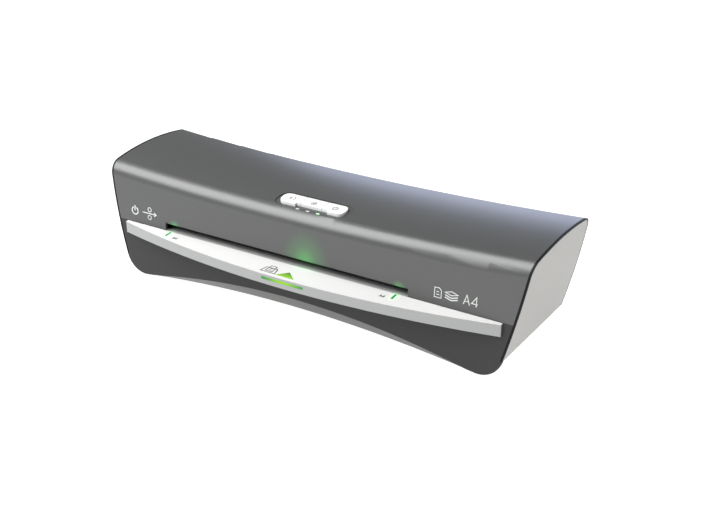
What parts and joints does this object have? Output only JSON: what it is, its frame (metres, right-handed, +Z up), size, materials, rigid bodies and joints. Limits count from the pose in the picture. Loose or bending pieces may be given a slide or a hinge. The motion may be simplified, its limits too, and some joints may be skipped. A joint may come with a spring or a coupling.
{
  "type": "pouch laminator",
  "caption": "Desk-top pouch laminator with a waisted grey housing, light end panels, a bowed white entry tray with green guide lights, a key strip on top and a driven roller unit inside.",
  "frame": {"origin": "centre of the footprint on the table, with the rubber feet's undersides at z = 0", "axes": "+X along the rollers towards the geared end, +Y from the entry tray to the exit, +Z up"},
  "size_m": [0.402, 0.1316, 0.1035],
  "materials": {
    "cover_grey": "metallic satin paint",
    "fascia_dark": "satin",
    "base_grey": "matt",
    "end_grey": "satin",
    "gasket_black": "matt",
    "tray_white": "satin",
    "lip_silver": "satin silver",
    "lamp_green": "frosted, lit",
    "key_white": "satin",
    "lens_clear": "clear",
    "guide_black": "matt",
    "foot_rubber": "matt",
    "zinc_steel": "zinc plated",
    "ground_steel": "ground",
    "silicone_red": "matt",
    "gear_nylon": "satin",
    "bush_bronze": "satin",
    "spring_steel": "polished",
    "motor_can": "zinc",
    "heater_alu": "mill",
    "mica_sheet": "matt",
    "ceramic_part": "matt",
    "board_green": "satin",
    "component_black": "satin"
  },
  "bodies": {
    "machine": {"upper_casing": "cover_grey", "front_fascia": "fascia_dark", "base_casing": "base_grey", "left_end_panel": "end_grey", "right_end_panel": "end_grey", "left_end_gasket": "gasket_black", "right_end_gasket": "gasket_black", "entry_tray": "tray_white", "tray_lip_trim": "lip_silver", "feed_light_bar": "lamp_green", "feed_arrow_window": "lamp_green", "guide_light_left": "lamp_green", "guide_light_right": "lamp_green", "exit_slot_frame": "guide_black", "casing_screws": "zinc_steel", "rubber_feet": "foot_rubber", "indicator_lens": "lens_clear", "button_board": "board_green", "board_screws": "zinc_steel", "tact_switches": "component_black", "left_side_frame": "zinc_steel", "right_side_frame": "zinc_steel", "frame_screws": "zinc_steel", "frame_tie_rods": "ground_steel", "idler_pin": "ground_steel", "lower_roller_bushes": "bush_bronze", "front_pressure_springs": "spring_steel", "rear_pressure_springs": "spring_steel", "motor_plate": "zinc_steel", "drive_motor": "motor_can", "upper_heater_block": "heater_alu", "lower_heater_block": "heater_alu", "heater_elements": "mica_sheet", "thermal_cutouts": "ceramic_part", "entry_guide_upper": "guide_black", "exit_guide": "guide_black", "power_board": "board_green", "power_board_components": "component_black", "power_inlet": "component_black", "rocker_switch_housing": "component_black"},
    "front_lower_roller": {"front_lower_shaft": "ground_steel", "front_lower_sleeve": "silicone_red", "front_lower_gear": "gear_nylon"},
    "rear_lower_roller": {"rear_lower_shaft": "ground_steel", "rear_lower_sleeve": "silicone_red", "rear_lower_gear": "gear_nylon"},
    "front_bush_pair": {"front_upper_bushes": "bush_bronze"},
    "rear_bush_pair": {"rear_upper_bushes": "bush_bronze"},
    "front_upper_roller": {"front_upper_shaft": "ground_steel", "front_upper_sleeve": "silicone_red", "front_upper_gear": "gear_nylon"},
    "rear_upper_roller": {"rear_upper_shaft": "ground_steel", "rear_upper_sleeve": "silicone_red", "rear_upper_gear": "gear_nylon"},
    "idler": {"idler_gear": "gear_nylon"},
    "pinion": {"motor_pinion": "gear_nylon"},
    "reverse_key": {"reverse_button": "key_white"},
    "heat_key": {"heat_button": "key_white"},
    "power_key": {"power_button": "key_white"},
    "mains_rocker": {"rocker": "component_black"}
  },
  "joints": [
    {"name": "front_lower_roller_spin", "type": "hinge", "parent": "machine", "child": "front_lower_roller", "pos_m": [0.11465, -0.009, 0.039], "axis": [1, 0, 0], "continuous": true},
    {"name": "rear_lower_roller_spin", "type": "hinge", "parent": "machine", "child": "rear_lower_roller", "pos_m": [0.11465, 0.033, 0.039], "axis": [1, 0, 0], "continuous": true},
    {"name": "front_upper_float", "type": "slide", "parent": "machine", "child": "front_bush_pair", "axis": [0, 0, 1], "range_m": [0, 0.001], "stiffness_N_per_m": 4000, "springref_m": -0.004, "deforming": ["front_pressure_springs"]},
    {"name": "rear_upper_float", "type": "slide", "parent": "machine", "child": "rear_bush_pair", "axis": [0, 0, 1], "range_m": [0, 0.001], "stiffness_N_per_m": 4000, "springref_m": -0.004, "deforming": ["rear_pressure_springs"]},
    {"name": "front_upper_roller_spin", "type": "hinge", "parent": "front_bush_pair", "child": "front_upper_roller", "pos_m": [0.11465, -0.009, 0.064], "axis": [1, 0, 0], "continuous": true},
    {"name": "rear_upper_roller_spin", "type": "hinge", "parent": "rear_bush_pair", "child": "rear_upper_roller", "pos_m": [0.11465, 0.033, 0.064], "axis": [1, 0, 0], "continuous": true},
    {"name": "idler_spin", "type": "hinge", "parent": "machine", "child": "idler", "pos_m": [0.11465, 0.012, 0.03092], "axis": [1, 0, 0], "continuous": true},
    {"name": "pinion_spin", "type": "hinge", "parent": "machine", "child": "pinion", "pos_m": [0.11465, -0.02624, 0.02454], "axis": [1, 0, 0], "continuous": true},
    {"name": "reverse_key_press", "type": "slide", "parent": "machine", "child": "reverse_key", "axis": [0, 0, -1], "range_m": [0, 0.0008], "stiffness_N_per_m": 150, "springref_m": -0.002},
    {"name": "heat_key_press", "type": "slide", "parent": "machine", "child": "heat_key", "axis": [0, 0, -1], "range_m": [0, 0.0008], "stiffness_N_per_m": 150, "springref_m": -0.002},
    {"name": "power_key_press", "type": "slide", "parent": "machine", "child": "power_key", "axis": [0, 0, -1], "range_m": [0, 0.0008], "stiffness_N_per_m": 150, "springref_m": -0.002},
    {"name": "mains_rocker_tilt", "type": "hinge", "parent": "machine", "child": "mains_rocker", "pos_m": [0.12365, 0.06025, 0.034], "axis": [1, 0, 0], "range_deg": [-7, 7]}
  ],
  "couplings": [
    {"joint": "front_upper_roller_spin", "follows": "front_lower_roller_spin", "ratio": -1},
    {"joint": "idler_spin", "follows": "front_lower_roller_spin", "ratio": -1.25},
    {"joint": "rear_lower_roller_spin", "follows": "front_lower_roller_spin", "ratio": 1},
    {"joint": "rear_upper_roller_spin", "follows": "front_lower_roller_spin", "ratio": -1},
    {"joint": "pinion_spin", "follows": "front_lower_roller_spin", "ratio": -1.25}
  ]
}
